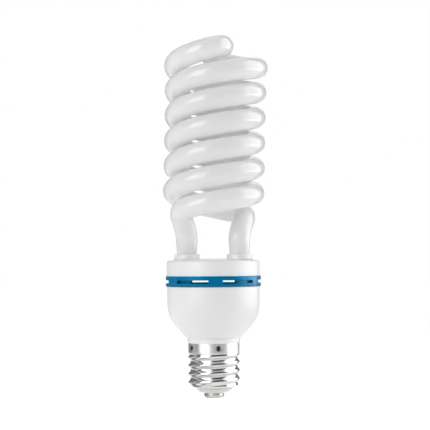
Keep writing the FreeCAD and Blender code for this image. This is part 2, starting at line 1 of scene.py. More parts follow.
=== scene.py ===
import math

import bpy
from mathutils import Matrix, Quaternion, Vector


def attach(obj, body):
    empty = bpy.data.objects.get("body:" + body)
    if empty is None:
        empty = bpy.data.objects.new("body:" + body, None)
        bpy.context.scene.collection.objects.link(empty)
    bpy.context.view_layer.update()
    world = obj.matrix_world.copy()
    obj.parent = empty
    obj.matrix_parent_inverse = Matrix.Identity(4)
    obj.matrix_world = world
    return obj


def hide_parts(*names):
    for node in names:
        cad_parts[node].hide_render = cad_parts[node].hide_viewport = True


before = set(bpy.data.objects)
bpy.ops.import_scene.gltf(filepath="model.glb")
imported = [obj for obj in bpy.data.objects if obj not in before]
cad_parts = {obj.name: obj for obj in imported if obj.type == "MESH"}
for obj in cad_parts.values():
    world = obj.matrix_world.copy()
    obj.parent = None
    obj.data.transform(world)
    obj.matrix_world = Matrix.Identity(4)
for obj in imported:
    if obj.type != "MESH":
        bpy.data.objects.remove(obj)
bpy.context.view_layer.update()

bl_info = {
    "name": "Spiral energy saving bulb",
    "version": (1, 0, 0),
    "blender": (4, 5, 0),
    "location": "View3D > Sidebar > Bulb",
    "description": "Glass, housing, screw cap and studio of a large spiral energy saving bulb",
    "category": "Object",
}

MM = 0.001
UP = Vector((0, 0, 1))

# Glass path, in millimetres and degrees, as in the solids
SPIRAL_BASE = 137.4
SPIRAL_START = 228.4
SPIRAL_END = 1304.2
SPIRAL_SPANS = 24
SETTLE = 0.8
SETTLE_START = 1130.0
SETTLE_TURN = 180.0
FLARE_START = 223.65
FLARE_HEIGHT = 25.0
LEAN_RIGHT = 1.5
LEAN_BACK = 1.94
LEAN_PIVOT = 113.65
SPIRAL_SHIFT = -0.25
LEG_TOP = 119.75
LEG_PULL = 14.5
SPIRAL_PULL = 12.2
BEND_SPANS = 3
CROSSING_RISE = 10.24
CROSSING_HEADING = 120.9
CROSSING_PULL = 25.0
CROSSING_REACH = 28.0
CROSSING_SPANS = 4
TUBE_FOOT = 97.25
FOOT_ROUND = 3.0

# Contact, insulator and cap, in millimetres and degrees
CONTACT_RADIUS = 7.5
CONTACT_HEIGHT = 3.6
CONTACT_SHEET = 0.9
CONTACT_HOLE = 1.6
INSULATOR_FOOT = 0.95
INSULATOR_SEAT = 3.65
INSULATOR_PLUG = 6.5
INSULATOR_TOP = 11.6
INSULATOR_BORE = 1.0
CAP_BOTTOM = 7.9
CAP_CORNER = 3.0
CAP_LIP_RADIUS = 12.9
RIM_BOTTOM = 34.4
CAP_TOP = 41.8
CREST_HEIGHT = 21.3
PUNCH_HEIGHT = 38.5
PUNCH_TURN = 10.6
PUNCH_DEPTH = 0.8
PUNCH_FLAT = 0.8
PUNCH_REACH = 2.5
# Reach from a punch mark's middle where its painted shade starts to fade and where it ends
PUNCH_SHADE_REACH = (1.2, 2.9)
THREAD_FADE = 2.2
CAP_WIRE_TURN = 140.24

# Rows and columns of the cap's mesh, and how much rougher its rim is than its thread
CORNER_ROWS = 10
UPRIGHT_ROWS = 92
SHEET_COLUMNS = 240
RIM_DULLING = 0.17

# Housing, in millimetres and degrees
SPIGOT_LENGTH = 5.0
SPIGOT_CLEARANCE = 0.1
DENT_MOUTH = 2.625
DENT_TIP = 1.4
DENT_LENGTH = 1.0
DENT_INSET = 0.75
WIRE_NOTCH_WIDTH = 1.8
GROOVE_DEPTH = 0.35
NECK_TOP = 46.1
SKIRT_RADIUS = 21.4
BOWL_SLOPE = 41.0
BOWL_ROUND = 24.5
BOWL_WAIST = 35.2
BOWL_TOP = 84.75
BOARD_BOTTOM = 82.65
RIB_COUNT = 4
RIB_WIDTH = 2.4
RIB_REACH = 4.2
RIB_LENGTH = 14.0
RING_TOP = 92.75
RING_LAP = 2.4
LAP_CLEARANCE = 0.15
LAP_SHORTER = 0.4
RING_ROUND = 0.5
SLOT_BOTTOM = 87.3
SLOT_HEIGHT = 2.4
SLOT_SPAN = 43.0
SLOT_TURNS = (0, 57.2, 117.2, 180, 242.8, 302.8)
GUARD_RADIUS = 32.3
GUARD_HALF_GAP = 16.6
COVER_EDGE = 104.45
COVER_CROWN = 105.85
COVER_ROUND = 1.8
COVER_INNER_ROUND = 0.4
COLLAR_BOTTOM = 97.65
COLLAR_TOP = 109.45
COLLAR_ROUND = 0.8
COLLAR_FLARE = 0.9
CEMENT_GAP = 0.4
CEMENT_BOTTOM = 3
CEMENT_TOP = 0.8

# Straight steps in the cover's crown and in its rounded edges
DOME_STEPS = 8
EDGE_STEPS = 6

# Part of a noise pattern's range that its colours and roughnesses spread over, and how far
# a plain finish spreads its colour
PATTERN_LOW = 0.3
PATTERN_HIGH = 0.7
COLOUR_SPREAD = 0.08

# Studio, in metres, degrees and watts
AMBIENT = 0.6
FLOOR_LIGHT = 0.85
FLOOR_GREY = 0.22
FLOOR_GLOW = 0.93
LAMP_AIM = (0, 0, 0.14)
LAMP_DISTANCE = 1.3
LAMP_HEIGHT = 0.25
CAMERA_PLACE = (0.00163, -1.0, 0.10503)
CAMERA_AIM = (0.00163, 0, 0.13933)
CAMERA_ROLL = -0.0078
FOCAL_PIXELS = 1304
PICTURE_PIXELS = 430
SENSOR_WIDTH = 36

# Lamps: name, azimuth, width, height, power
LAMPS = (
    ("left_soft_box", -60, 0.9, 1.2, 7.4),
    ("right_soft_box", 75, 1.2, 1.2, 8.0),
)

# Cards that only reflections see and flags that only shade: name, first and last azimuth, distance,
# lower and upper edge, brightness, flag or not
CARDS = (
    ("left_glow", -62, -24, 1.3, 0.11, 1.3, 5.6, False),
    ("right_glow", 70, 126, 1.3, 0.25, 2.0, 3.5, False),
    ("left_card", -165, -112, 1.6, -0.3, 6.0, 0.2, False),
    ("left_pale_card", -111, -95, 1.6, -0.3, 6.0, 0.55, False),
    ("left_edge_card", -94, -68, 1.6, -0.3, 6.0, 0.1, False),
    ("left_low_card", -165, -68, 1.6, -1.6, -0.8, 0.25, False),
    ("left_under_card", -110, -20, 1.6, -4.5, -2.5, 0.3, False),
    ("front_card", -18, 62, 1.6, -0.18, 8.0, 0.08, False),
    ("front_rim_card", -18, 62, 1.5, -0.12, 0.06, 0.5, False),
    ("front_low_card", -18, 62, 1.6, -1.6, -1.0, 0.3, False),
    ("right_low_glow", 70, 126, 1.3, 0.02, 0.24, 6.5, False),
    ("front_flag", -32, 32, 1.25, -0.3, 1.2, 0.22, True),
    ("back_flag", 125, 235, 1.25, -0.3, 1.2, 0.1, True),
    ("right_card", 130, 160, 1.6, -0.6, 3.0, 0.2, False),
)


class BulbSizes(bpy.types.PropertyGroup):
    """Sizes of the bulb that a user would change."""

    spiral_radius: bpy.props.FloatProperty(
        name="Spiral radius", description="From the middle of the spiral to the middle of the tube",
        default=0.0308, unit="LENGTH")
    spiral_pitch: bpy.props.FloatProperty(
        name="Spiral pitch", description="Rise of one arm in one turn", default=0.03897, unit="LENGTH")
    spiral_flare: bpy.props.FloatProperty(
        name="Spiral flare", description="Extra radius at the top turn", default=0.0011, unit="LENGTH")
    tube_radius: bpy.props.FloatProperty(
        name="Tube radius", description="Outer radius of the bent glass", default=0.00828, unit="LENGTH")
    leg_radius: bpy.props.FloatProperty(
        name="Leg radius", description="Outer radius of the glass in its collar",
        default=0.0075, unit="LENGTH")
    leg_spacing: bpy.props.FloatProperty(
        name="Leg spacing", description="Distance between the two glass legs", default=0.0403, unit="LENGTH")
    wall: bpy.props.FloatProperty(
        name="Housing wall", description="Thickness of the moulded housing", default=0.0018, unit="LENGTH")
    bowl_radius: bpy.props.FloatProperty(
        name="Bowl radius", description="Outer radius of the lower housing", default=0.0356, unit="LENGTH")
    cover_radius: bpy.props.FloatProperty(
        name="Cover radius", description="Outer radius of the upper cover", default=0.0357, unit="LENGTH")
    neck_radius: bpy.props.FloatProperty(
        name="Neck radius", description="Radius of the housing above the cap", default=0.0202, unit="LENGTH")
    ring_proud: bpy.props.FloatProperty(
        name="Ring stand", description="How far the vent ring stands out", default=0.0008, unit="LENGTH")
    collar_radius: bpy.props.FloatProperty(
        name="Collar radius", description="Outer radius of a glass collar", default=0.0097, unit="LENGTH")
    thread_major: bpy.props.FloatProperty(
        name="Thread crest radius", description="Radius over the crests", default=0.0197, unit="LENGTH")
    thread_minor: bpy.props.FloatProperty(
        name="Thread root radius", description="Radius over the roots", default=0.0179, unit="LENGTH")
    thread_pitch: bpy.props.FloatProperty(
        name="Thread pitch", description="Rise of the thread in one turn", default=0.00635, unit="LENGTH")
    rim_radius: bpy.props.FloatProperty(
        name="Rim radius", description="Radius of the cap's plain rim", default=0.0195, unit="LENGTH")
    cap_sheet: bpy.props.FloatProperty(
        name="Cap sheet", description="Thickness of the cap's sheet", default=0.0004, unit="LENGTH")
    punch_count: bpy.props.IntProperty(
        name="Punch marks", description="Punch marks round the cap's rim", default=5, min=1)


class BulbColours(bpy.types.PropertyGroup):
    """Colours of the bulb that a user would change."""

    glass: bpy.props.FloatVectorProperty(
        name="Coated glass", description="White coat seen through the glass",
        default=(0.985, 0.985, 0.985), subtype="COLOR")
    housing: bpy.props.FloatVectorProperty(
        name="Housing", description="Moulded plastic of the housing",
        default=(0.89, 0.89, 0.89), subtype="COLOR")
    ring: bpy.props.FloatVectorProperty(
        name="Vent ring", description="Moulded plastic of the vent ring",
        default=(0.0, 0.21, 0.43), subtype="COLOR")
    cap: bpy.props.FloatVectorProperty(
        name="Cap plate", description="Nickel plate of the screw cap",
        default=(0.76, 0.76, 0.75), subtype="COLOR")
    insulator: bpy.props.FloatVectorProperty(
        name="Insulator", description="Pale insulator under the cap",
        default=(0.72, 0.73, 0.72), subtype="COLOR")
    backdrop: bpy.props.FloatVectorProperty(
        name="Backdrop", description="Floor and background", default=(1.0, 1.0, 1.0), subtype="COLOR")


def sizes():
    return bpy.context.scene.bulb_sizes


def colours():
    return bpy.context.scene.bulb_colours


# Mesh tools

def deselect_all():
    if bpy.context.object and bpy.context.object.mode != "OBJECT":
        bpy.ops.object.mode_set(mode="OBJECT")
    bpy.ops.object.select_all(action="DESELECT")


def select_only(piece):
    deselect_all()
    piece.select_set(True)
    bpy.context.view_layer.objects.active = piece


def tidy_mesh(piece):
    """Merge doubled points and turn every face outwards."""
    select_only(piece)
    bpy.ops.object.mode_set(mode="EDIT")
    bpy.ops.mesh.select_all(action="SELECT")
    bpy.ops.mesh.remove_doubles(threshold=2e-6)
    bpy.ops.mesh.normals_make_consistent(inside=False)
    bpy.ops.object.mode_set(mode="OBJECT")


def smooth(piece, degrees=32):
    select_only(piece)
    bpy.ops.object.shade_smooth_by_angle(angle=math.radians(degrees))


def apply_modifiers(piece):
    select_only(piece)
    for modifier in list(piece.modifiers):
        bpy.ops.object.modifier_apply(modifier=modifier.name)


def rounded(corners, steps=6):
    """Points of a closed outline of (radius, height) corners, a third number rounding one to an arc."""
    points = []
    for index, corner in enumerate(corners):
        here = Vector(corner[:2])
        if len(corner) < 3:
            points.append(here)
            continue
        before = (Vector(corners[index - 1][:2]) - here).normalized()
        after = (Vector(corners[(index + 1) % len(corners)][:2]) - here).normalized()
        half = before.angle(after) / 2
        centre = here + (before + after).normalized() * corner[2] / math.sin(half)
        start = here + before * corner[2] / math.tan(half) - centre
        sweep = start.angle_signed(here + after * corner[2] / math.tan(half) - centre)
        for step in range(steps + 1):
            points.append(centre + Matrix.Rotation(-sweep * step / steps, 2) @ start)
    return points


def outline_object(name, points):
    """Closed loop of edges in the XZ plane through points in millimetres."""
    deselect_all()
    bpy.ops.mesh.primitive_circle_add(vertices=len(points), radius=0.01, fill_type="NOTHING")
    piece = bpy.context.object
    piece.name = piece.data.name = name
    for vertex, point in zip(piece.data.vertices, points):
        vertex.co = (point[0] * MM, 0, point[1] * MM)
    return piece


def spun(name, points, degrees=360, steps=144, start=0):
    """Outline turned about Z, a part turn closed at both ends."""
    piece = outline_object(name, points)
    piece.data.transform(Matrix.Rotation(math.radians(start), 4, "Z"))
    bpy.ops.object.mode_set(mode="EDIT")
    bpy.ops.mesh.select_all(action="SELECT")
    bpy.ops.mesh.spin(steps=steps, angle=-math.radians(degrees), center=(0, 0, 0), axis=(0, 0, 1))
    if degrees < 360:
        bpy.ops.mesh.select_all(action="DESELECT")
        bpy.ops.mesh.select_non_manifold()
        bpy.ops.mesh.fill_holes(sides=0)
    bpy.ops.object.mode_set(mode="OBJECT")
    tidy_mesh(piece)
    return piece


def plate(name, points, thickness):
    """Flat plate of an outline in the XZ plane, its thickness along Y about the middle."""
    piece = outline_object(name, points)
    bpy.ops.object.mode_set(mode="EDIT")
    bpy.ops.mesh.select_all(action="SELECT")
    bpy.ops.mesh.edge_face_add()
    bpy.ops.mesh.extrude_region_move(TRANSFORM_OT_translate={"value": (0, thickness * MM, 0)})
    bpy.ops.object.mode_set(mode="OBJECT")
    piece.data.transform(Matrix.Translation((0, -thickness * MM / 2, 0)))
    tidy_mesh(piece)
    return piece


def combined(piece, other, operation):
    """Join or cut one mesh with another, which is used up."""
    modifier = piece.modifiers.new(operation.lower(), "BOOLEAN")
    modifier.object = other
    modifier.operation = operation
    modifier.solver = "EXACT"
    apply_modifiers(piece)
    bpy.data.objects.remove(other, do_unlink=True)


def placed(piece, x):
    piece.data.transform(Matrix.Translation((x, 0, 0)))
    return piece


def finished(piece, slot, finish, *nodes):
    """Give a piece its finish, hang it on the root body and hide the solids it stands in for."""
    piece.data.materials.clear()
    piece.data.materials.append(finish)
    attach(piece, "root")
    if nodes:
        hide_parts(*nodes)


# Finishes

class Finish:
    """Node material on a Principled shader, its patterns on Object coordinates."""

    def __init__(self, name, roughness, **constants):
        self.material = bpy.data.materials.new(name)
        self.material.use_nodes = True
        self.tree = self.material.node_tree
        self.shader = self.tree.nodes["Principled BSDF"]
        self.shader.inputs["Roughness"].default_value = roughness
        for socket, value in constants.items():
            self.shader.inputs[socket.replace("_", " ")].default_value = value
        self.place = self.tree.nodes.new("ShaderNodeTexCoord").outputs["Object"]
        self.bumped = None

    def link(self, output, target):
        self.tree.links.new(output, target)

    def noise(self, grain, stretch=(1, 1, 1), detail=3.0):
        """Noise whose grain is in metres, squeezed by stretch along each axis."""
        mapping = self.tree.nodes.new("ShaderNodeMapping")
        mapping.inputs["Scale"].default_value = stretch
        self.link(self.place, mapping.inputs["Vector"])
        noise = self.tree.nodes.new("ShaderNodeTexNoise")
        noise.inputs["Scale"].default_value = 1 / grain
        noise.inputs["Detail"].default_value = detail
        self.link(mapping.outputs["Vector"], noise.inputs["Vector"])
        return noise.outputs["Fac"]

    def ranged(self, value, low, high, start=PATTERN_LOW, end=PATTERN_HIGH):
        """Value that goes from low to high while another goes from start to end."""
        node = self.tree.nodes.new("ShaderNodeMapRange")
        node.inputs["From Min"].default_value = start
        node.inputs["From Max"].default_value = end
        node.inputs["To Min"].default_value = low
        node.inputs["To Max"].default_value = high
        self.link(value, node.inputs["Value"])
        return node.outputs["Result"]

    def height(self):
        parts = self.tree.nodes.new("ShaderNodeSeparateXYZ")
        self.link(self.place, parts.inputs["Vector"])
        return parts.outputs["Z"]

    def added(self, first, second):
        node = self.tree.nodes.new("ShaderNodeMath")
        self.link(first, node.inputs[0])
        self.link(second, node.inputs[1])
        return node.outputs["Value"]

    def colour(self, value, dark, light):
        """Base colour that goes from dark to light with a pattern."""
        ramp = self.tree.nodes.new("ShaderNodeValToRGB")
        ramp.color_ramp.elements[0].position = PATTERN_LOW
        ramp.color_ramp.elements[0].color = (*dark, 1)
        ramp.color_ramp.elements[1].position = PATTERN_HIGH
        ramp.color_ramp.elements[1].color = (*light, 1)
        self.link(value, ramp.inputs["Fac"])
        self.link(ramp.outputs["Color"], self.shader.inputs["Base Color"])

    def roughness(self, value, low, high):
        self.link(self.ranged(value, low, high), self.shader.inputs["Roughness"])

    def bump(self, value, depth, both=False):
        """Relief of a depth in metres, over any relief given before."""
        node = self.tree.nodes.new("ShaderNodeBump")
        node.inputs["Distance"].default_value = depth
        node.inputs["Strength"].default_value = 1.0
        self.link(value, node.inputs["Height"])
        if self.bumped:
            self.link(self.bumped, node.inputs["Normal"])
        self.bumped = node.outputs["Normal"]
        self.link(self.bumped, self.shader.inputs["Normal"])
        if both:
            self.link(self.bumped, self.shader.inputs["Coat Normal"])

    def paint_shade(self, attribute, dark):
        """Paint shade: darken the base colour where a point attribute of the mesh says so."""
        value = self.tree.nodes.new("ShaderNodeAttribute")
        value.attribute_name = attribute
        mix = self.tree.nodes.new("ShaderNodeMix")
        mix.data_type = "RGBA"
        self.link(value.outputs["Fac"], mix.inputs["Factor"])
        self.link(self.shader.inputs["Base Color"].links[0].from_socket, mix.inputs["A"])
        mix.inputs["B"].default_value = (*dark, 1)
        self.link(mix.outputs["Result"], self.shader.inputs["Base Color"])

    def let_through(self, share, tint):
        """Pass a share of the light through the wall, scattered, as a thin coat or thin plastic does."""
        through = self.tree.nodes.new("ShaderNodeBsdfTranslucent")
        through.inputs["Color"].default_value = (*tint, 1)
        mix = self.tree.nodes.new("ShaderNodeMixShader")
        mix.inputs["Fac"].default_value = share
        self.link(self.shader.outputs["BSDF"], mix.inputs[1])
        self.link(through.outputs["BSDF"], mix.inputs[2])
        self.link(mix.outputs["Shader"], self.tree.nodes["Material Output"].inputs["Surface"])


def shaded(colour, factor):
    return tuple(min(1.0, channel * factor) for channel in colour)


def glass_finish():
    """White coat with a faint mottle under clear, slightly wavy glass."""
    finish = Finish("coated_glass", 0.07, IOR=1.5, Coat_Weight=1.0, Coat_Roughness=0.07, Coat_IOR=1.1)
    finish.shader.inputs["Coat Tint"].default_value = (0.99, 0.99, 0.99, 1)
    base = tuple(colours().glass)
    finish.colour(finish.noise(0.006, detail=4.0), shaded(base, 0.975), shaded(base, 1.02))
    finish.bump(finish.noise(0.011, detail=1.0), 0.00025, both=True)
    finish.let_through(0.25, base)
    return finish.material


def housing_finish():
    """Satin moulded plastic with a fine spark-eroded grain."""
    finish = Finish("moulded_white", 0.4)
    finish.shader.inputs["Specular IOR Level"].default_value = 0.45
    base = tuple(colours().housing)
    finish.colour(finish.noise(0.02, detail=2.0), shaded(base, 0.985), shaded(base, 1.01))
    finish.roughness(finish.noise(0.004), 0.36, 0.44)
    finish.bump(finish.noise(0.00035, detail=2.0), 0.00001)
    return finish.material


def ring_finish():
    """Blue plastic, smoother than the housing."""
    finish = Finish("moulded_blue", 0.35)
    finish.shader.inputs["Specular IOR Level"].default_value = 0.4
    finish.shader.inputs["Specular Tint"].default_value = (0.05, 0.65, 1.0, 1)
    base = tuple(colours().ring)
    finish.colour(finish.noise(0.012), shaded(base, 0.92), shaded(base, 1.06))
    finish.roughness(finish.noise(0.003), 0.24, 0.3)
    finish.bump(finish.noise(0.0005), 0.00001)
    finish.let_through(0.2, shaded(base, 1.6))
    return finish.material


def cap_finish():
    """Bright nickel plate with faint rolling lines round the cap, rougher on the rim, with painted shade
    darkening the punch marks.
    """
    finish = Finish("nickel_plate", 0.15, Metallic=1.0)
    base = tuple(colours().cap)
    lines = finish.noise(0.02, stretch=(1, 1, 60))
    finish.colour(finish.noise(0.008), shaded(base, 0.93), shaded(base, 1.04))
    rim = finish.ranged(finish.height(), 0.0, RIM_DULLING, RIM_BOTTOM * MM - 0.001, RIM_BOTTOM * MM)
    finish.link(finish.added(finish.ranged(lines, 0.12, 0.2), rim), finish.shader.inputs["Roughness"])
    finish.bump(lines, 0.00001)
    finish.bump(finish.noise(0.003, detail=1.0), 0.00003)
    # Painted shade: the punch marks darkened almost to black, standing in for the shade in the dents
    finish.paint_shade("punch_shade", (0.04, 0.04, 0.04))
    return finish.material


def insulator_finish():
    """Pale glazed insulator."""
    finish = Finish("pale_insulator", 0.28, Coat_Weight=0.4, Coat_Roughness=0.15)
    base = tuple(colours().insulator)
    finish.colour(finish.noise(0.003), shaded(base, 0.95), shaded(base, 1.03))
    finish.bump(finish.noise(0.0015), 0.00002)
    return finish.material


def metal_finish(name, base, low, high, grain=0.002, depth=0.00002):
    """Bare or tinned metal with a patchy polish."""
    finish = Finish(name, low, Metallic=1.0)
    pattern = finish.noise(grain)
    finish.colour(pattern, shaded(base, 0.85), shaded(base, 1.05))
    finish.roughness(pattern, low, high)
    finish.bump(finish.noise(grain * 1.7), depth)
    return finish.material


def plain_finish(name, base, roughness, grain=0.002, depth=0.00001, coat=0.0):
    """Moulded, dipped, ground or pressed stuff with a grain of its own."""
    finish = Finish(name, roughness, Coat_Weight=coat)
    pattern = finish.noise(grain)
    finish.colour(pattern, shaded(base, 1 - COLOUR_SPREAD), shaded(base, 1 + COLOUR_SPREAD))
    finish.roughness(pattern, roughness * 0.85, min(1.0, roughness * 1.15))
    finish.bump(finish.noise(grain * 0.6), depth)
    return finish.material


def winding_finish(name, base, wire):
    """Enamelled wire laid turn on turn, the turns shown by a wave up the coil in relief and in colour, with
    painted shade darkening the grooves between turns.
    """
    finish = Finish(name, 0.3, Metallic=0.6, Coat_Weight=0.5)
    wave = finish.tree.nodes.new("ShaderNodeTexWave")
    wave.bands_direction = "Z"
    wave.inputs["Scale"].default_value = 1 / (wire * 20 / (2 * math.pi))
    wave.inputs["Distortion"].default_value = 0.6
    finish.link(finish.place, wave.inputs["Vector"])
    # Painted shade: the colour darkens in the wave's troughs, the grooves between turns
    finish.colour(wave.outputs["Fac"], shaded(base, 0.55), shaded(base, 1.1))
    finish.bump(wave.outputs["Fac"], wire * 0.3)
    return finish.material


# Path of the glass tube

def leaned(point, direction):
    """Turn a station of the upright spiral to the lean of the glass on its legs."""
    lean = Quaternion((1, 0, 0), math.radians(-LEAN_BACK)) @ Quaternion((0, 1, 0), math.radians(LEAN_RIGHT))
    pivot = Vector((0, 0, LEAN_PIVOT))
    return lean @ (point - pivot) + pivot + Vector((SPIRAL_SHIFT, 0, 0)), lean @ direction


def spiral_point(degrees):
    angle = math.radians(degrees)
    height = SPIRAL_BASE + sizes().spiral_pitch / MM * (degrees - 180) / 360
    flare = min(max((height - FLARE_START) / FLARE_HEIGHT, 0), 1)
    radius = (sizes().spiral_radius + sizes().spiral_flare * flare ** 2) / MM
    height -= SETTLE * (max(degrees - SETTLE_START, 0) / SETTLE_TURN) ** 2
    return Vector((radius * math.cos(angle), radius * math.sin(angle), height))


def spiral_station(degrees):
    ahead = spiral_point(degrees + 0.01) - spiral_point(degrees - 0.01)
    return spiral_point(degrees), ahead.normalized()


def blend(start, heading, end, arrival, spans):
    """Stations on one cubic curve between two ends, given a pull vector at each."""
    points = [start, start + heading, end - arrival, end]
    stations = []
    for index in range(1, spans):
        t = index / spans
        s = 1 - t
        place = (points[0] * s ** 3 + points[1] * 3 * s * s * t + points[2] * 3 * s * t * t
                 + points[3] * t ** 3)
        slope = (points[1] - points[0]) * s * s + (points[2] - points[1]) * 2 * s * t
        stations.append((place, (slope + (points[3] - points[2]) * t * t).normalized()))
    return stations


def arm_stations(side):
    """Stations of one arm from its leg to the crossing on top, side -1 for the left leg."""
    spin = Quaternion(UP, 0 if side < 0 else math.pi)

    def turned(station):
        return leaned(spin @ station[0], spin @ station[1])

    leg_end = (Vector((side * sizes().leg_spacing / MM / 2, 0, LEG_TOP)), UP)
    step = (SPIRAL_END - SPIRAL_START) / SPIRAL_SPANS
    spiral = [spiral_station(SPIRAL_START + step * index) for index in range(SPIRAL_SPANS + 1)]
    last_point, last_direction = spiral[-1]
    heading = math.radians(CROSSING_HEADING)
    crossing = (Vector((0, 0, last_point.z + CROSSING_RISE)),
                Vector((math.cos(heading), math.sin(heading), 0)))
    over = blend(last_point, last_direction * CROSSING_PULL, crossing[0], crossing[1] * CROSSING_REACH,
                 CROSSING_SPANS)
    upper = [turned(station) for station in spiral + over + [crossing]]
    bend = blend(leg_end[0], leg_end[1] * LEG_PULL, upper[0][0], upper[0][1] * SPIRAL_PULL, BEND_SPANS)
    return [leg_end] + bend + upper


def leg_stations(side):
    """Stations of the straight leg with their radius, from its rounded foot to the bend."""
    x = side * sizes().leg_spacing / MM / 2
    narrow = sizes().leg_radius / MM
    inner = narrow - FOOT_ROUND
    stations = []
    for step in range(5):
        turn = math.pi / 2 * step / 4
        height = TUBE_FOOT + FOOT_ROUND * (1 - math.cos(turn))
        stations.append((Vector((x, 0, height)), UP, inner + FOOT_ROUND * math.sin(turn)))
    stations.append((Vector((x, 0, COLLAR_TOP)), UP, narrow))
    return stations


def glass_stations():
    """(place, direction, radius) all along the tube, from the left foot to the right one."""
    wide = sizes().tube_radius / MM
    left = leg_stations(-1) + [(*station, wide) for station in arm_stations(-1)]
    right = leg_stations(1) + [(*station, wide) for station in arm_stations(1)]
    return left + [(place, -direction, radius) for place, direction, radius in reversed(right[:-1])]


class BULB_OT_glass(bpy.types.Operator):
    """Bend the coated glass tube: a leg, an arm of the spiral, the crossing and the other arm and leg"""

    bl_idname = "bulb.glass"
    bl_label = "Glass tube"

    def execute(self, context):
        stations = glass_stations()
        deselect_all()
        bpy.ops.curve.primitive_bezier_curve_add(radius=1, location=(0, 0, 0))
        tube = context.object
        tube.name = "glass_tube"
        curve = tube.data
        curve.bevel_depth = sizes().tube_radius
        curve.bevel_resolution = 10
        curve.resolution_u = 12
        curve.use_fill_caps = True
        spline = curve.splines[0]
        spline.radius_interpolation = "LINEAR"
        spline.bezier_points.add(len(stations) - 2)
        for index, (place, direction, radius) in enumerate(stations):
            point = spline.bezier_points[index]
            point.handle_left_type = point.handle_right_type = "FREE"
            point.co = place * MM
            point.radius = radius * MM / sizes().tube_radius
            reach = [0, 0]
            for way, other in enumerate((index - 1, index + 1)):
                other = min(max(other, 0), len(stations) - 1)
                chord = (stations[other][0] - place).length
                turn = direction.angle(stations[other][1])
                reach[way] = chord / (3 * math.cos(turn / 4) ** 2)
            point.handle_left = (place - direction * reach[0]) * MM
            point.handle_right = (place + direction * reach[1]) * MM
        select_only(tube)
        bpy.ops.object.convert(target="MESH")
        tube = context.object
        tube.data.name = "glass_tube"
        tidy_mesh(tube)
        smooth(tube, 50)
        finished(tube, "coated_glass", glass_finish(), "discharge_tube")
        return {"FINISHED"}


class BULB_OT_cement(bpy.types.Operator):
    """Fill each collar with cement round the glass leg, its top drawn up to the glass"""

    bl_idname = "bulb.cement"
    bl_label = "Cement"

    def execute(self, context):
        finish = plain_finish("white_cement", (0.78, 0.77, 0.73), 0.8, grain=0.0008, depth=0.00008)
        for name, side in (("left", -1), ("right", 1)):
            inner = sizes().leg_radius / MM
            outer = inner + CEMENT_GAP
            low = COLLAR_BOTTOM + CEMENT_BOTTOM
            high = COLLAR_TOP - CEMENT_TOP
            ring = spun("cement_fill_" + name, [
                (inner, low), (outer, low), (outer, high - 0.25), (outer - 0.12, high - 0.2),
                (inner + 0.12, high - 0.05), (inner, high)], steps=96)
            placed(ring, side * sizes().leg_spacing / 2)
            smooth(ring, 60)
            finished(ring, "cement", finish, "cement_" + name)
        return {"FINISHED"}


def domed_side(radius, edge, crown, corner):
    """Outline points of a shallow dome from the middle out, its edge rounded into an upright side."""
    rise = crown - edge
    bend = (radius ** 2 + rise ** 2) / (2 * rise)
    centre = crown - bend
    reach = bend - corner
    join = math.asin((radius - corner) / reach)
    points = [(bend * math.sin(join * step / DOME_STEPS), centre + bend * math.cos(join * step / DOME_STEPS))
              for step in range(DOME_STEPS + 1)]
    middle = (radius - corner, centre + reach * math.cos(join))
    for step in range(1, EDGE_STEPS + 1):
        turn = join + (math.pi / 2 - join) * step / EDGE_STEPS
        points.append((middle[0] + corner * math.sin(turn), middle[1] + corner * math.cos(turn)))
    return points


class BULB_OT_upper_cover(bpy.types.Operator):
    """Mould the upper cover: a shallow dome with two collars for the glass legs"""

    bl_idname = "bulb.upper_cover"
    bl_label = "Upper cover"

    def execute(self, context):
        s = sizes()
        outer = s.cover_radius / MM
        wall = s.wall / MM
        points = domed_side(outer, COVER_EDGE, COVER_CROWN, COVER_ROUND)
        points += [(outer, RING_TOP), (outer - wall, RING_TOP)]
        points += reversed(domed_side(outer - wall, COVER_EDGE - wall, COVER_CROWN - wall, COVER_INNER_ROUND))
        cover = spun("upper_cover_shell", points, steps=180)
        collar = s.collar_radius / MM
        below = [(0, COLLAR_BOTTOM), (collar, COLLAR_BOTTOM), (collar, COVER_CROWN - 1.3)]
        for step in range(EDGE_STEPS + 1):
            turn = math.pi / 2 * step / EDGE_STEPS
            below.append((collar + COLLAR_FLARE * (1 - math.sin(turn)),
                          COVER_CROWN - 0.35 + COLLAR_FLARE * (1 - math.cos(turn))))
        above = rounded([(0, 0), (collar, COVER_CROWN), (collar, COLLAR_TOP, COLLAR_ROUND),
                         (0, COLLAR_TOP)])[2:]
        for side in (-1, 1):
            sleeve = spun("sleeve", below + above, steps=96)
            combined(cover, placed(sleeve, side * s.leg_spacing / 2), "UNION")
        bore = s.leg_radius / MM + CEMENT_GAP
        hole = [(0, COLLAR_BOTTOM - 1), (bore, COLLAR_BOTTOM - 1), (bore, COLLAR_TOP - 0.25),
                (bore + 0.5, COLLAR_TOP + 0.25), (0, COLLAR_TOP + 0.25)]
        for side in (-1, 1):
            drill = spun("drill", hole, steps=96)
            combined(cover, placed(drill, side * s.leg_spacing / 2), "DIFFERENCE")
        tidy_mesh(cover)
        smooth(cover)
        finished(cover, "housing", housing_finish(), "upper_cover")
        return {"FINISHED"}


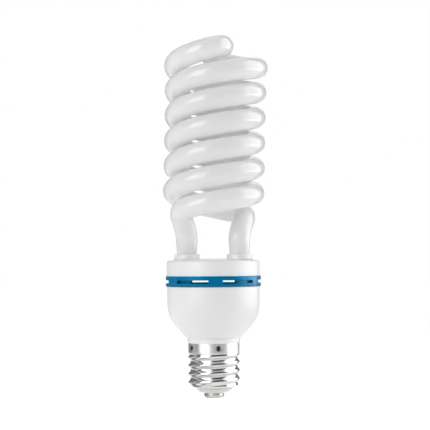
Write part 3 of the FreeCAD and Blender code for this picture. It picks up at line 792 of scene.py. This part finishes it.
class BULB_OT_vent_ring(bpy.types.Operator):
    """Mould the blue vent ring and cut its slots, open through only beside the front and the back"""

    bl_idname = "bulb.vent_ring"
    bl_label = "Vent ring"

    def execute(self, context):
        s = sizes()
        outside = (s.bowl_radius + s.ring_proud) / MM
        sleeve = (s.bowl_radius - s.wall) / MM - LAP_CLEARANCE
        low = BOWL_TOP - RING_LAP + LAP_SHORTER
        ring = spun("vent_band", rounded([
            (GUARD_RADIUS, low), (sleeve, low), (sleeve, BOWL_TOP),
            (outside, BOWL_TOP, RING_ROUND), (outside, RING_TOP, RING_ROUND), (sleeve, RING_TOP),
            (sleeve, RING_TOP + RING_LAP), (GUARD_RADIUS, RING_TOP + RING_LAP)]), steps=180)
        top = SLOT_BOTTOM + SLOT_HEIGHT
        for turn in SLOT_TURNS:
            first = turn - SLOT_SPAN / 2
            slot = spun("slot", [(sleeve, SLOT_BOTTOM), (outside + 1, SLOT_BOTTOM), (outside + 1, top),
                                 (sleeve, top)], SLOT_SPAN, 24, first)
            combined(ring, slot, "DIFFERENCE")
            window = spun("window", [(GUARD_RADIUS - 1, SLOT_BOTTOM), (sleeve + 0.1, SLOT_BOTTOM),
                                     (sleeve + 0.1, top), (GUARD_RADIUS - 1, top)], SLOT_SPAN, 24, first)
            deselect_all()
            bpy.ops.mesh.primitive_cube_add(size=1, location=(0, 0, (SLOT_BOTTOM + SLOT_HEIGHT / 2) * MM),
                                            scale=(2 * GUARD_HALF_GAP * MM, 0.12, 0.02))
            combined(window, context.object, "INTERSECT")
            if window.data.vertices:
                combined(ring, window, "DIFFERENCE")
            else:
                bpy.data.objects.remove(window, do_unlink=True)
        tidy_mesh(ring)
        smooth(ring)
        finished(ring, "vent_ring", ring_finish(), "vent_ring")
        return {"FINISHED"}


def cone_height(radius, offset=0.0):
    """Height at which the bowl's sloping side, moved inwards by offset, has this radius."""
    slope = math.radians(BOWL_SLOPE)
    return NECK_TOP + (radius + offset / math.cos(slope) - SKIRT_RADIUS) / math.tan(slope)


class BULB_OT_lower_housing(bpy.types.Operator):
    """Mould the bowl with its neck, the spigot that plugs into the cap and the ribs under the board"""

    bl_idname = "bulb.lower_housing"
    bl_label = "Lower housing"

    def execute(self, context):
        s = sizes()
        radius = s.bowl_radius / MM
        wall = s.wall / MM
        neck = s.neck_radius / MM
        inside = radius - wall
        narrow = BOWL_WAIST - wall
        spigot = s.rim_radius / MM - s.cap_sheet / MM - SPIGOT_CLEARANCE
        bore = spigot - wall
        low = CAP_TOP - SPIGOT_LENGTH
        bowl = spun("lower_bowl", rounded([
            (bore, low), (spigot, low), (spigot, CAP_TOP), (neck, CAP_TOP, 0.3),
            (neck, NECK_TOP - 0.9), (neck - GROOVE_DEPTH, NECK_TOP - 0.7), (neck - GROOVE_DEPTH, NECK_TOP),
            (SKIRT_RADIUS, NECK_TOP, 0.4), (BOWL_WAIST, cone_height(BOWL_WAIST), BOWL_ROUND),
            (radius, BOWL_TOP, 0.3), (inside, BOWL_TOP), (inside, BOWL_TOP - RING_LAP - 1),
            (narrow, cone_height(narrow, wall), BOWL_ROUND - wall),
            (bore, cone_height(bore, wall))], 10), steps=180)
        reach = inside - RIB_REACH
        foot = BOARD_BOTTOM - RIB_LENGTH
        for index in range(RIB_COUNT):
            rib = plate("rib", [(reach, BOARD_BOTTOM), (inside + wall / 2, BOARD_BOTTOM),
                                (inside + wall / 2, foot), (inside - RIB_REACH / 2, foot),
                                (reach, foot + RIB_REACH)], RIB_WIDTH)
            rib.data.transform(Matrix.Rotation(2 * math.pi * index / RIB_COUNT, 4, "Z"))
            combined(bowl, rib, "UNION")
        for index in range(s.punch_count):
            combined(bowl, self.dent(index), "DIFFERENCE")
        notch = plate("notch", [(bore - 0.1, low - 0.5), (spigot + 0.1, low - 0.5),
                                (spigot + 0.1, CAP_TOP - 0.5), (bore - 0.1, CAP_TOP - 0.5)], WIRE_NOTCH_WIDTH)
        notch.data.transform(Matrix.Rotation(math.radians(CAP_WIRE_TURN), 4, "Z"))
        combined(bowl, notch, "DIFFERENCE")
        tidy_mesh(bowl)
        smooth(bowl)
        finished(bowl, "housing", bpy.data.materials.get("moulded_white") or housing_finish(),
                 "lower_housing")
        return {"FINISHED"}

    def dent(self, index):
        """Hollow that a punch mark of the cap presses into the spigot."""
        deselect_all()
        bpy.ops.mesh.primitive_cone_add(vertices=32, radius1=DENT_MOUTH * MM, radius2=DENT_TIP * MM,
                                        depth=DENT_LENGTH * MM)
        cone = bpy.context.object
        cone.data.transform(Matrix.Rotation(-math.pi / 2, 4, "X"))
        cone.data.transform(Matrix.Translation((0, DENT_INSET * MM - sizes().rim_radius, PUNCH_HEIGHT * MM)))
        turn = math.radians(PUNCH_TURN) + 2 * math.pi * index / sizes().punch_count
        cone.data.transform(Matrix.Rotation(turn, 4, "Z"))
        return cone


def soft_step(value, low, high):
    t = min(max((value - low) / (high - low), 0), 1)
    return t * t * (3 - 2 * t)


def cap_rows():
    """(radius, height, wave) of each row of the cap's sheet from its inner lip to the top of its rim."""
    s = sizes()
    crest = s.thread_major / MM
    root = s.thread_minor / MM
    middle = (crest + root) / 2
    depth = (crest - root) / 2
    corner = CAP_BOTTOM + CAP_CORNER
    start = CAP_LIP_RADIUS + 0.8
    rows = [(CAP_LIP_RADIUS, CAP_BOTTOM + 0.15, 0), (CAP_LIP_RADIUS + 0.3, CAP_BOTTOM, 0)]
    for index in range(CORNER_ROWS):
        turn = math.pi / 2 * index / CORNER_ROWS
        height = corner - CAP_CORNER * math.cos(turn)
        rows.append((start + (middle - start) * math.sin(turn), height,
                     depth * soft_step(height, CAP_BOTTOM + 1, corner)))
    rim = s.rim_radius / MM
    for index in range(UPRIGHT_ROWS + 1):
        height = corner + (CAP_TOP - corner) * index / UPRIGHT_ROWS
        fade = soft_step(height, RIM_BOTTOM - THREAD_FADE, RIM_BOTTOM + 0.2)
        rows.append((middle + (rim - middle) * fade, height, depth * (1 - fade)))
    return rows


def punched(angle, height):
    """Depth in millimetres of a punch mark at this place of the rim, and how much painted shade darkens it
    there.
    """
    s = sizes()
    step = 2 * math.pi / s.punch_count
    turn = angle + math.pi / 2 - math.radians(PUNCH_TURN)
    off = (turn + step / 2) % step - step / 2
    reach = math.hypot(off * s.rim_radius / MM, height - PUNCH_HEIGHT)
    return PUNCH_DEPTH * (1 - soft_step(reach, PUNCH_FLAT, PUNCH_REACH)), 1 - soft_step(reach, *PUNCH_SHADE_REACH)


class BULB_OT_screw_shell(bpy.types.Operator):
    """Roll the cap's sheet into its thread, punch marks into its rim and give the sheet its thickness"""

    bl_idname = "bulb.screw_shell"
    bl_label = "Screw cap"

    def execute(self, context):
        s = sizes()
        rows = cap_rows()
        deselect_all()
        bpy.ops.mesh.primitive_grid_add(x_subdivisions=SHEET_COLUMNS, y_subdivisions=len(rows) - 1, size=1)
        shell = context.object
        shell.name = shell.data.name = "screw_cap_shell"
        pitch = s.thread_pitch / MM
        # Painted shade for the punch marks, stored on each point for the cap's finish to darken
        punch_shade = shell.data.attributes.new("punch_shade", "FLOAT", "POINT")
        for vertex in shell.data.vertices:
            angle = 2 * math.pi * (vertex.co.x + 0.5)
            radius, height, wave = rows[round((vertex.co.y + 0.5) * (len(rows) - 1))]
            radius += wave * math.cos(2 * math.pi * (height - CREST_HEIGHT) / pitch - angle)
            depth, punch_shade.data[vertex.index].value = punched(angle, height)
            radius -= depth
            vertex.co = Vector((radius * math.cos(angle), radius * math.sin(angle), height)) * MM
        tidy_mesh(shell)
        sheet = shell.modifiers.new("sheet", "SOLIDIFY")
        sheet.thickness = s.cap_sheet
        sheet.offset = -1
        apply_modifiers(shell)
        smooth(shell, 50)
        finished(shell, "cap_metal", cap_finish(), "screw_shell")
        return {"FINISHED"}


class BULB_OT_insulator(bpy.types.Operator):
    """Press the pale insulator that holds the centre contact in the cap"""

    bl_idname = "bulb.insulator"
    bl_label = "Insulator"

    def execute(self, context):
        lip = CAP_BOTTOM - 0.1
        neck = CAP_LIP_RADIUS - 0.2
        above = CAP_BOTTOM + 1.1
        cone = spun("base_cone", rounded([
            (INSULATOR_BORE, INSULATOR_FOOT), (INSULATOR_PLUG, INSULATOR_FOOT, 0.7),
            (INSULATOR_PLUG, INSULATOR_SEAT), (INSULATOR_PLUG + 1.5, INSULATOR_SEAT, 0.3),
            (CAP_LIP_RADIUS + 0.2, INSULATOR_SEAT + 1.7, 4), (CAP_LIP_RADIUS + 0.8, lip), (neck, lip),
            (neck, above), (neck + 1.2, above + 0.4), (neck + 1.2, INSULATOR_TOP),
            (INSULATOR_BORE, INSULATOR_TOP)], 10))
        smooth(cone)
        finished(cone, "insulator", insulator_finish(), "base_insulator")
        return {"FINISHED"}


class BULB_OT_contact(bpy.types.Operator):
    """Draw the centre contact and drop the solder into its middle hole"""

    bl_idname = "bulb.contact"
    bl_label = "Centre contact"

    def execute(self, context):
        inner = CONTACT_RADIUS - CONTACT_SHEET
        contact = spun("tip_contact", rounded([
            (CONTACT_HOLE, 0.0), (CONTACT_RADIUS, 0.0, 1.6), (CONTACT_RADIUS, CONTACT_HEIGHT, 0.3),
            (inner, CONTACT_HEIGHT), (inner, CONTACT_SHEET, 0.6), (CONTACT_HOLE, CONTACT_SHEET)], 8))
        smooth(contact)
        finished(contact, "contact_metal", metal_finish("tinned_plate", (0.68, 0.67, 0.65), 0.14, 0.3),
                 "centre_contact")
        drop = spun("tip_solder", [(0, 0), (1.1, 0), (1.35, 0.03), (1.52, 0.1), (CONTACT_HOLE, 0.25),
                                   (CONTACT_HOLE, CONTACT_SHEET), (0, CONTACT_SHEET)], steps=48)
        smooth(drop, 60)
        finished(drop, "solder", metal_finish("solder", (0.55, 0.56, 0.57), 0.3, 0.5, 0.0006, 0.00008),
                 "contact_solder")
        return {"FINISHED"}


BALLAST_FINISHES = {
    "ballast_board": ("pressed_board", (0.42, 0.28, 0.11), 0.55),
    "bulk_capacitor": ("can_sleeve", (0.03, 0.04, 0.06), 0.25),
    "choke_core_upper choke_core_lower drive_ring_core filter_choke_core":
        ("ferrite", (0.06, 0.06, 0.065), 0.6),
    "choke_bobbin": ("bobbin_plastic", (0.7, 0.66, 0.52), 0.4),
    "transistor_left transistor_right": ("transistor_case", (0.03, 0.03, 0.03), 0.35),
    "resonant_capacitor coupling_capacitor line_capacitor": ("dipped_case", (0.36, 0.05, 0.02), 0.3),
    "fuse": ("fuse_sleeve", (0.12, 0.3, 0.1), 0.4),
    "ptc_thermistor": ("pill_coat", (0.5, 0.22, 0.03), 0.45),
    "start_diac": ("diac_glass", (0.05, 0.16, 0.3), 0.2),
    "rectifier_diode_1 rectifier_diode_2 rectifier_diode_3 rectifier_diode_4":
        ("diode_case", (0.04, 0.04, 0.045), 0.4),
    "base_resistor_left base_resistor_right": ("resistor_coat", (0.45, 0.35, 0.2), 0.45),
    "shell_lead contact_lead": ("wire_sleeve", (0.75, 0.75, 0.72), 0.4),
}


class BULB_OT_ballast(bpy.types.Operator):
    """Give each part of the ballast inside the housing its own finish"""

    bl_idname = "bulb.ballast"
    bl_label = "Ballast"

    def execute(self, context):
        for names, (name, base, roughness) in BALLAST_FINISHES.items():
            self.give(names, plain_finish(name, base, roughness, coat=0.2 if roughness < 0.35 else 0.0))
        copper = winding_finish("copper_winding", (0.55, 0.16, 0.04), 0.0004)
        self.give("choke_winding filter_choke_winding", copper)
        coils = winding_finish("red_wire", (0.5, 0.05, 0.02), 0.0008)
        self.give("drive_coil_1 drive_coil_2 drive_coil_3", coils)
        tinned = metal_finish("tinned_wire", (0.6, 0.6, 0.58), 0.25, 0.45)
        self.give(" ".join("wrap_post_%d tube_lead_%d" % (n, n) for n in range(1, 5)), tinned)
        return {"FINISHED"}

    def give(self, names, finish):
        for name in names.split():
            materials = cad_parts[name].data.materials
            materials.clear()
            materials.append(finish)


# Studio

def light_path_seen(tree):
    """1 for the rays that show the background: camera, glossy and transmission rays."""
    path = tree.nodes.new("ShaderNodeLightPath")
    seen = path.outputs["Is Camera Ray"]
    for name in ("Is Glossy Ray", "Is Transmission Ray"):
        both = tree.nodes.new("ShaderNodeMath")
        both.operation = "MAXIMUM"
        tree.links.new(seen, both.inputs[0])
        tree.links.new(path.outputs[name], both.inputs[1])
        seen = both.outputs["Value"]
    return seen


def make_world():
    """Backdrop that shows at full strength and lights the bulb at less."""
    world = bpy.data.worlds.new("studio")
    bpy.context.scene.world = world
    world.use_nodes = True
    tree = world.node_tree
    background = tree.nodes["Background"]
    background.inputs["Color"].default_value = (*colours().backdrop, 1)
    strength = tree.nodes.new("ShaderNodeMapRange")
    strength.inputs["To Min"].default_value = AMBIENT
    strength.inputs["To Max"].default_value = 1.0
    tree.links.new(light_path_seen(tree), strength.inputs["Value"])
    tree.links.new(strength.outputs["Result"], background.inputs["Strength"])


def floor_finish():
    """White floor that shows as the background does, less a soft shadow."""
    material = bpy.data.materials.new("white_floor")
    material.use_nodes = True
    tree = material.node_tree
    tree.nodes.clear()
    white = (*colours().backdrop, 1)
    paper = tree.nodes.new("ShaderNodeEmission")
    paper.inputs["Color"].default_value = white
    paper.inputs["Strength"].default_value = FLOOR_LIGHT
    shown = tree.nodes.new("ShaderNodeBsdfDiffuse")
    shown.inputs["Color"].default_value = (FLOOR_GREY, FLOOR_GREY, FLOOR_GREY, 1)
    glow = tree.nodes.new("ShaderNodeEmission")
    glow.inputs["Color"].default_value = white
    glow.inputs["Strength"].default_value = FLOOR_GLOW
    both = tree.nodes.new("ShaderNodeAddShader")
    tree.links.new(shown.outputs["BSDF"], both.inputs[0])
    tree.links.new(glow.outputs["Emission"], both.inputs[1])
    mix = tree.nodes.new("ShaderNodeMixShader")
    tree.links.new(light_path_seen(tree), mix.inputs["Fac"])
    tree.links.new(paper.outputs["Emission"], mix.inputs[1])
    tree.links.new(both.outputs["Shader"], mix.inputs[2])
    output = tree.nodes.new("ShaderNodeOutputMaterial")
    tree.links.new(mix.outputs["Shader"], output.inputs["Surface"])
    return material


def around(azimuth, distance, height):
    """Place at an azimuth from the viewer's side, positive to the right."""
    turn = math.radians(azimuth)
    return Vector((distance * math.sin(turn), -distance * math.cos(turn), height))


def soft_box(name, azimuth, width, tall, power):
    """Rectangular lamp that faces the bulb."""
    deselect_all()
    bpy.ops.object.light_add(type="AREA", location=around(azimuth, LAMP_DISTANCE, LAMP_HEIGHT))
    lamp = bpy.context.object
    lamp.name = name
    lamp.data.shape = "RECTANGLE"
    lamp.data.size = width
    lamp.data.size_y = tall
    lamp.data.energy = power
    lamp.visible_glossy = False
    aim = Vector(LAMP_AIM) - lamp.location
    lamp.rotation_euler = aim.to_track_quat("-Z", "Y").to_euler()


def curved_card(name, first, last, distance, low, high, shade, flag):
    """Card that only reflections see, or flag that only shades, from one azimuth to another."""
    deselect_all()
    bpy.ops.mesh.primitive_grid_add(x_subdivisions=24, y_subdivisions=1, size=1)
    card = bpy.context.object
    card.name = name
    for vertex in card.data.vertices:
        azimuth = first + (last - first) * (vertex.co.x + 0.5)
        vertex.co = around(azimuth, distance, low + (high - low) * (vertex.co.y + 0.5))
    material = bpy.data.materials.new(name)
    material.use_nodes = True
    tree = material.node_tree
    tree.nodes.clear()
    glow = tree.nodes.new("ShaderNodeEmission")
    glow.inputs["Strength"].default_value = shade
    output = tree.nodes.new("ShaderNodeOutputMaterial")
    tree.links.new(glow.outputs["Emission"], output.inputs["Surface"])
    card.data.materials.append(material)
    card.visible_camera = card.visible_shadow = False
    card.visible_diffuse = flag
    card.visible_glossy = not flag
    card.visible_transmission = card.visible_volume_scatter = False


class BULB_OT_stage(bpy.types.Operator):
    """Set up the floor, the lamps, the cards, the flags and the camera at the photograph's angle"""

    bl_idname = "bulb.stage"
    bl_label = "Studio"

    def execute(self, context):
        make_world()
        deselect_all()
        bpy.ops.mesh.primitive_plane_add(size=8, location=(0, 0, -0.0001))
        floor = context.object
        floor.name = "floor"
        floor.data.materials.append(floor_finish())
        floor.visible_glossy = False
        for lamp in LAMPS:
            soft_box(*lamp)
        for card in CARDS:
            curved_card(*card)
        bpy.ops.object.camera_add(location=CAMERA_PLACE)
        camera = context.object
        camera.data.lens = SENSOR_WIDTH * FOCAL_PIXELS / PICTURE_PIXELS
        camera.data.sensor_width = SENSOR_WIDTH
        aim = Vector(CAMERA_AIM) - camera.location
        turn = aim.to_track_quat("-Z", "Y") @ Quaternion(UP, CAMERA_ROLL)
        camera.rotation_euler = turn.to_euler()
        context.scene.camera = camera
        context.scene.view_settings.view_transform = "Standard"
        return {"FINISHED"}


OPERATORS = (
    BULB_OT_glass, BULB_OT_cement, BULB_OT_upper_cover, BULB_OT_vent_ring, BULB_OT_lower_housing,
    BULB_OT_screw_shell, BULB_OT_insulator, BULB_OT_contact, BULB_OT_ballast, BULB_OT_stage,
)


class BULB_PT_panel(bpy.types.Panel):
    """List of the bulb's pieces"""

    bl_label = "Spiral bulb"
    bl_space_type = "VIEW_3D"
    bl_region_type = "UI"
    bl_category = "Bulb"

    def draw(self, context):
        for group in (context.scene.bulb_sizes, context.scene.bulb_colours):
            column = self.layout.column(align=True)
            for key in group.bl_rna.properties.keys():
                if key not in ("rna_type", "name"):
                    column.prop(group, key)
        for operator in OPERATORS:
            self.layout.operator(operator.bl_idname)


CLASSES = (BulbSizes, BulbColours, *OPERATORS, BULB_PT_panel)


def register():
    for cls in CLASSES:
        bpy.utils.register_class(cls)
    bpy.types.Scene.bulb_sizes = bpy.props.PointerProperty(type=BulbSizes)
    bpy.types.Scene.bulb_colours = bpy.props.PointerProperty(type=BulbColours)


def unregister():
    del bpy.types.Scene.bulb_sizes
    del bpy.types.Scene.bulb_colours
    for cls in reversed(CLASSES):
        bpy.utils.unregister_class(cls)


def main():
    """Build the bulb and its studio."""
    register()
    bpy.ops.bulb.glass()
    bpy.ops.bulb.cement()
    bpy.ops.bulb.upper_cover()
    bpy.ops.bulb.vent_ring()
    bpy.ops.bulb.lower_housing()
    bpy.ops.bulb.screw_shell()
    bpy.ops.bulb.insulator()
    bpy.ops.bulb.contact()
    bpy.ops.bulb.ballast()
    bpy.ops.bulb.stage()


if __name__ == "__main__":
    main()
